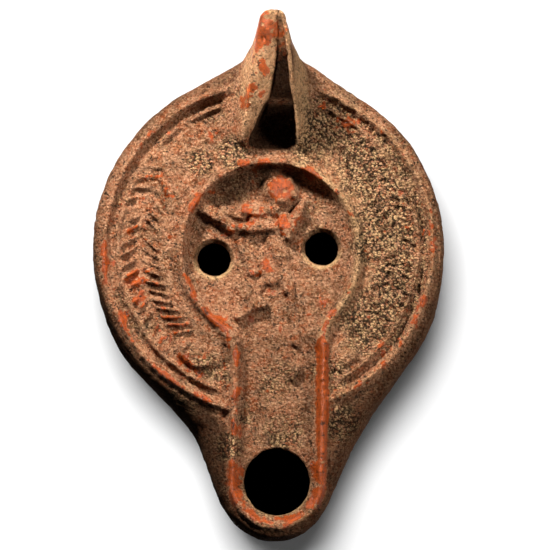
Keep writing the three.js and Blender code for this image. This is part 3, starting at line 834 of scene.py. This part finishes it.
def roughen(mesh):
    """Moves the surface in and out: slow unevenness, lumps, grit, pits and the handle's knob and chips."""
    points = coordinates(mesh)
    normals = vertex_normals(mesh)
    crust = crust_mask(points, slip_mask(points))
    uneven = 0.4 * (layered_noise(points, 8.0, 7, 2) - 0.5)
    lumps = 0.34 * (layered_noise(points, 2.4, 13, 2) - 0.5)
    grit = value_noise(points, 1.15, 17) + 0.7 * value_noise(points, 0.8, 19) - 0.85
    pits = np.maximum(value_noise(points, 1.4, 29) - 0.7, 0.0) * 2.0
    moved = uneven + lumps + grit * (0.1 + 0.5 * crust) - pits * (0.3 + 0.9 * crust)
    moved *= ramp(points[:, 2], 0.3, FOOT_CLEAR)
    for x, y, radius, rise in HANDLE_KNOBS:
        near = np.hypot(points[:, 0] - x, points[:, 1] - y)
        moved += rise * (1.0 - ramp(near, 0.2 * radius, radius)) * (points[:, 2] > 39.0)
    points += normals * moved[:, None]
    low = np.array(CAD_LOW) / MM + 0.02
    high = np.array(CAD_HIGH) / MM - 0.02
    low[2] = 0.0
    points = np.clip(points, low, high)
    mesh.vertices.foreach_set("co", points.ravel())
    mesh.update()


def lamp_object():
    """The body and the handle as one mesh, worn, with its masks as point attributes."""
    shell = lamp_shell()
    body = mesh_object("roman_oil_lamp", shell.points, shell.faces)
    handle = handle_object()
    handle_mesh = applied_mesh(handle)
    known = [tuple(p) for p in shell.points] + [tuple(p) for p in coordinates(handle_mesh)]
    handle.modifiers.clear()
    handle.data = handle_mesh
    union = body.modifiers.new("handle", "BOOLEAN")
    union.operation = "UNION"
    union.solver = "MANIFOLD"
    union.object = handle
    mesh = applied_mesh(body)
    body.modifiers.clear()
    body.data = mesh
    bpy.data.objects.remove(handle)
    soften_joint(mesh, known)
    roughen(mesh)
    points = coordinates(mesh)
    for name, values in surface_masks(points).items():
        layer = mesh.attributes.new(name, "FLOAT", "POINT")
        layer.data.foreach_set("value", values.astype(np.float32))
    mesh.vertices.foreach_set("co", (points * MM).ravel())
    mesh.polygons.foreach_set("use_smooth", np.ones(len(mesh.polygons), bool))
    mesh.update()
    return body


class Graph:
    """Short calls for building a node tree."""

    def __init__(self, tree):
        self.tree = tree
        self.tree.nodes.clear()

    def node(self, kind, inputs=None, **settings):
        made = self.tree.nodes.new(kind)
        for name, value in settings.items():
            setattr(made, name, value)
        for key, value in (inputs or {}).items():
            socket = made.inputs[key]
            if isinstance(value, bpy.types.NodeSocket):
                self.tree.links.new(value, socket)
            else:
                socket.default_value = value
        return made

    def noise(self, where, size_mm, detail=3.0, roughness=0.55, output="Fac"):
        scale = 1.0 / (size_mm * MM)
        inputs = {"Vector": where, "Scale": scale, "Detail": detail, "Roughness": roughness}
        return self.node("ShaderNodeTexNoise", inputs).outputs[output]

    def spread(self, value, low, high, to_low=0.0, to_high=1.0):
        inputs = {"Value": value, "From Min": low, "From Max": high, "To Min": to_low, "To Max": to_high}
        return self.node("ShaderNodeMapRange", inputs, interpolation_type="SMOOTHSTEP").outputs["Result"]

    def math(self, operation, first, second):
        return self.node("ShaderNodeMath", {0: first, 1: second}, operation=operation).outputs[0]

    def vector(self, operation, first, second):
        return self.node("ShaderNodeVectorMath", {0: first, 1: second}, operation=operation).outputs[0]

    def mix(self, factor, first, second):
        made = self.node("ShaderNodeMix", data_type="RGBA")
        for index, value in ((0, factor), (6, first), (7, second)):
            if isinstance(value, bpy.types.NodeSocket):
                self.tree.links.new(value, made.inputs[index])
            else:
                made.inputs[index].default_value = value
        return made.outputs[2]

    def attribute(self, name):
        return self.node("ShaderNodeAttribute", attribute_name=name).outputs["Fac"]


# Linear colours
CLAY_DARK = (0.17, 0.058, 0.022, 1.0)
CLAY_LIGHT = (0.46, 0.18, 0.088, 1.0)
CLAY_PALE = (0.75, 0.42, 0.25, 1.0)
SLIP_RED = (0.39, 0.062, 0.005, 1.0)
SLIP_DARK = (0.16, 0.025, 0.003, 1.0)
EARTH = (0.34, 0.165, 0.075, 1.0)
# Lime grit, also the colour of the painted highlight on hole edges and the handle
LIME_AND_HIGHLIGHT = (0.90, 0.57, 0.28, 1.0)
# Grime, also the painted shade between the grains
GRIME_AND_SHADE = (0.008, 0.005, 0.003, 1.0)
# Soot, also the colour of painted shade
SOOT_AND_SHADE = (0.012, 0.007, 0.0045, 1.0)
# Black painted shade for the inside
SHADE_BLACK = (0.001, 0.001, 0.001, 1.0)


def clay_material():
    """Worn clay. The masks say where slip, grit, soot and painted shade, the inside painted black as shade,
    and the painted highlights are.
    """
    material = bpy.data.materials.new("terracotta")
    material.use_nodes = True
    g = Graph(material.node_tree)
    where = g.node("ShaderNodeTexCoord").outputs["Object"]
    slip, crust, soot_and_shade, inner, painted_highlight = (g.attribute(n) for n in ("slip", "crust", "soot_and_shade", "inner", "painted_highlight"))

    # Fired clay: broad tones, sandy patches and reddish streaks
    broad = g.spread(g.noise(where, 7.0, 6.0, 0.65), 0.36, 0.6)
    colour = g.mix(broad, CLAY_DARK, CLAY_LIGHT)
    sandy = g.spread(g.noise(where, 1.8, 6.0, 0.8), 0.44, 0.66)
    colour = g.mix(g.math("MULTIPLY", sandy, 0.6), colour, CLAY_PALE)
    streaks = g.spread(g.noise(where, 2.8, 6.0, 0.8), 0.5, 0.62)
    colour = g.mix(g.math("MULTIPLY", streaks, 0.6), colour, SLIP_RED)

    # Grit: pale grains on earth, on coordinates bent a little so that they aren't round, and pale specks
    bent = g.vector("SUBTRACT", g.noise(where, 0.5, 3.0, 0.7, "Color"), (0.5, 0.5, 0.5))
    bent = g.vector("MULTIPLY", bent, (GRAIN_BEND * MM,) * 3)
    bent = g.vector("ADD", where, bent)
    cells = g.node("ShaderNodeTexVoronoi", {"Vector": bent, "Scale": 1.0 / (GRAIN_SIZE * MM)})
    spacing = cells.outputs["Distance"]
    chosen = g.spread(cells.outputs["Color"], 0.42, 0.66)
    earth = g.spread(g.noise(where, 1.6, 4.0, 0.7), 0.42, 0.62)
    colour = g.mix(g.math("MULTIPLY", earth, g.math("MULTIPLY", crust, 0.7)), colour, EARTH)
    colour = g.mix(g.math("MULTIPLY", chosen, g.math("MULTIPLY", crust, 0.75)), colour, LIME_AND_HIGHLIGHT)
    specks = g.noise(where, 0.6, 3.0, 0.7)
    bright = g.math("MULTIPLY", g.spread(specks, 0.53, 0.6), 0.6)
    colour = g.mix(bright, colour, CLAY_PALE)
    # Painted highlight on the sunny side of the hole edges and on the handle
    colour = g.mix(painted_highlight, colour, LIME_AND_HIGHLIGHT)

    # Slip, broken up at its edges
    patchy = g.math("ADD", slip, g.math("MULTIPLY", g.noise(where, 1.0, 6.0, 0.85), 1.6))
    slip_edge = g.math("MULTIPLY", g.spread(patchy, 1.16, 1.56), 0.95)
    slip_tone = g.spread(g.noise(where, 1.0, 6.0, 0.85), 0.4, 0.66)
    colour = g.mix(slip_edge, colour, g.mix(slip_tone, SLIP_DARK, SLIP_RED))

    # Dark specks, painted shade in the gaps between the grains, pin holes, soot and painted shade, and the
    # inside black as painted shade
    dark = g.math("MULTIPLY", g.spread(specks, 0.38, 0.46, 1.0, 0.0), 0.55)
    colour = g.mix(g.math("MULTIPLY", dark, g.spread(slip_edge, 0.0, 1.0, 1.0, 0.35)), colour, GRIME_AND_SHADE)
    # Painted shade in the gaps between the grains
    grain_shade = g.spread(spacing, 0.46, 0.66)
    grain_shade_seen = g.math("ADD", g.math("MULTIPLY", crust, 0.78), 0.08)
    colour = g.mix(g.math("MULTIPLY", grain_shade, grain_shade_seen), colour, GRIME_AND_SHADE)
    holes = g.spread(g.noise(where, 0.9, 3.0, 0.6), 0.6, 0.64)
    colour = g.mix(g.math("MULTIPLY", holes, 0.8), colour, GRIME_AND_SHADE)
    colour = g.mix(g.math("MULTIPLY", soot_and_shade, 0.9), colour, SOOT_AND_SHADE)
    # Painted shade: the inside is black
    colour = g.mix(inner, colour, SHADE_BLACK)

    # Roughness of the surface, less where slip lies
    rough = g.noise(where, 0.8, 6.0, 0.8)
    grains = g.math("MULTIPLY", spacing, g.math("ADD", g.math("MULTIPLY", crust, -1.9), -0.3))
    height = g.math("ADD", g.math("MULTIPLY", rough, 1.5), grains)
    height = g.math("ADD", height, g.math("MULTIPLY", specks, 0.5))
    height = g.math("SUBTRACT", height, g.math("MULTIPLY", holes, 0.5))
    strength = g.math("SUBTRACT", 1.0, g.math("MULTIPLY", slip_edge, 0.6))
    bump = g.node(
        "ShaderNodeBump", {"Strength": strength, "Distance": BUMP_DEPTH * MM, "Height": height}
    ).outputs["Normal"]
    gloss = g.spread(slip_edge, 0.0, 1.0, 0.85, 0.28)
    unseen = g.math("MAXIMUM", inner, soot_and_shade)
    shine = g.math("MULTIPLY", g.math("SUBTRACT", 1.0, unseen), g.spread(slip_edge, 0.0, 1.0, 0.1, 0.18))
    shader = g.node(
        "ShaderNodeBsdfPrincipled",
        {"Base Color": colour, "Roughness": gloss, "Normal": bump, "Specular IOR Level": shine},
    )
    g.node("ShaderNodeOutputMaterial", {"Surface": shader.outputs["BSDF"]})
    return material


def floor_object():
    """A white sheet, a hair below the foot."""
    half, z = 1.5, -0.0001
    corners = [(-half, -half, z), (half, -half, z), (half, half, z), (-half, half, z)]
    obj = mesh_object("ground", corners, [(0, 1, 2, 3)])
    material = bpy.data.materials.new("ground_white")
    material.use_nodes = True
    shader = material.node_tree.nodes["Principled BSDF"]
    shader.inputs["Base Color"].default_value = (0.85, 0.85, 0.85, 1.0)
    shader.inputs["Roughness"].default_value = 1.0
    shader.inputs["Specular IOR Level"].default_value = 0.0
    shader.inputs["Emission Color"].default_value = (1.0, 1.0, 1.0, 1.0)
    shader.inputs["Emission Strength"].default_value = 0.05
    obj.data.materials.append(material)
    obj.visible_diffuse = False
    return obj


def area_light(name, azimuth, elevation, distance, size, power, colour, target=(0.0, 0.0, 0.0)):
    """A square lamp, in metres and watts. azimuth turns from +X to +Y, and the light faces the target."""
    data = bpy.data.lights.new(name, "AREA")
    data.shape = "SQUARE"
    data.size = size
    data.energy = power
    data.color = colour
    obj = bpy.data.objects.new(name, data)
    turn, tilt = math.radians(azimuth), math.radians(elevation)
    back = Vector((math.cos(turn) * math.cos(tilt), math.sin(turn) * math.cos(tilt), math.sin(tilt)))
    obj.location = Vector(target) + back * distance
    obj.rotation_euler = (-back).to_track_quat("-Z", "Y").to_euler()
    bpy.context.scene.collection.objects.link(obj)
    return obj


def shine_only_on(lights, obj):
    """Keeps the lights off everything but one object, so that each has its own balance as in the photo."""
    group = bpy.data.collections.new("lit_" + obj.name)
    group.objects.link(obj)
    for light in lights:
        light.light_linking.receiver_collection = group


def camera_object():
    """Looks down from the nozzle's side."""
    tilt = math.radians(CAMERA_TILT)
    forward = Vector((0.0, math.cos(tilt), -math.sin(tilt)))
    right = Vector((1.0, 0.0, 0.0))
    up = right.cross(forward)
    target = Vector(CAMERA_TARGET) + right * CAMERA_RIGHT - up * CAMERA_DOWN
    data = bpy.data.cameras.new("camera")
    data.sensor_width = 36.0
    data.lens = data.sensor_width * CAMERA_DISTANCE / CAMERA_VIEW
    data.clip_start = 0.05
    obj = bpy.data.objects.new("camera", data)
    obj.location = (target - forward * CAMERA_DISTANCE) * MM
    obj.rotation_euler = forward.to_track_quat("-Z", "Y").to_euler()
    bpy.context.scene.collection.objects.link(obj)
    bpy.context.scene.camera = obj


lamp = lamp_object()
lamp.data.materials.clear()
lamp.data.materials.append(clay_material())
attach(lamp, "root")
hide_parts("lamp_body")

ground = floor_object()
key = area_light("key_light", 117, 36, 0.3, 0.036, 2.65, WARM)
side = area_light("side_light", 22, 40, 0.9, 0.2, 9.8, WARM)
over = area_light("ground_light", 110, 73, 0.9, 0.36, 11.5, (1.0, 1.0, 1.0))
spot = area_light("handle_light", 235, 50, 0.16, 0.012, 0.0022, (1.0, 0.95, 0.9), HANDLE_TIP)
spot.data.spread = math.radians(12.0)
shine_only_on((key, side, spot), lamp)
shine_only_on((over,), ground)

world = bpy.data.worlds.new("studio")
world.use_nodes = True
world.node_tree.nodes["Background"].inputs["Color"].default_value = (1.0, 1.0, 1.0, 1.0)
world.node_tree.nodes["Background"].inputs["Strength"].default_value = 0.028
bpy.context.scene.world = world
bpy.context.scene.view_settings.view_transform = "Standard"

camera_object()
